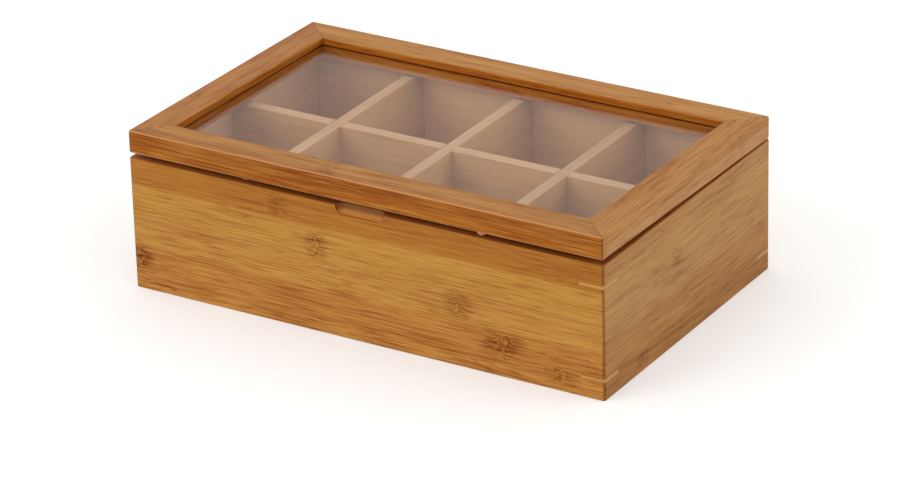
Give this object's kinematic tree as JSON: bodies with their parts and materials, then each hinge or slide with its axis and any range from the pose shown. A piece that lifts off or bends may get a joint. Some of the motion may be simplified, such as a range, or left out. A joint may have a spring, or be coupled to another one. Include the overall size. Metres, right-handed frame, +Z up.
{
  "type": "tea bag organizer box",
  "caption": "Bamboo tea box with keyed mitred corners, half-lapped dividers and a hinged lid framing a clear window, with a finger scoop at the front.",
  "frame": {"origin": "on the table, under the middle of the case", "axes": "+X along the front from left to right seen from the front, +Y from the front to the back, +Z up"},
  "size_m": [0.3048, 0.1915, 0.0965],
  "materials": {
    "bamboo": "satin lacquered",
    "pale_bamboo": "satin",
    "grid_bamboo": "sanded",
    "clear_acrylic": "polished clear",
    "brass": "satin",
    "clear_rubber": "clear silicone"
  },
  "bodies": {
    "case": {"front_wall": "bamboo", "right_wall": "bamboo", "back_wall": "bamboo", "left_wall": "bamboo", "bottom_panel": "pale_bamboo", "key_front_left_lower": "pale_bamboo", "key_front_right_lower": "pale_bamboo", "key_back_right_lower": "pale_bamboo", "key_back_left_lower": "pale_bamboo", "key_front_left_upper": "pale_bamboo", "key_front_right_upper": "pale_bamboo", "key_back_right_upper": "pale_bamboo", "key_back_left_upper": "pale_bamboo", "long_divider": "grid_bamboo", "cross_divider_left": "grid_bamboo", "cross_divider_middle": "grid_bamboo", "cross_divider_right": "grid_bamboo", "hinge_case_leaf_left": "brass", "hinge_case_leaf_right": "brass", "hinge_pin_left": "brass", "hinge_pin_right": "brass", "case_screws_left": "brass", "case_screws_right": "brass"},
    "lid": {"lid_front_rail": "bamboo", "lid_right_rail": "bamboo", "lid_back_rail": "bamboo", "lid_left_rail": "bamboo", "window_pane": "clear_acrylic", "bumper_left": "clear_rubber", "bumper_right": "clear_rubber", "hinge_lid_leaf_left": "brass", "hinge_lid_leaf_right": "brass", "lid_screws_left": "brass", "lid_screws_right": "brass"}
  },
  "joints": [
    {"name": "lid_hinge", "type": "hinge", "parent": "case", "child": "lid", "pos_m": [0, 0.09445, 0.08015], "axis": [-1, 0, 0], "range_deg": [0, 95]}
  ]
}
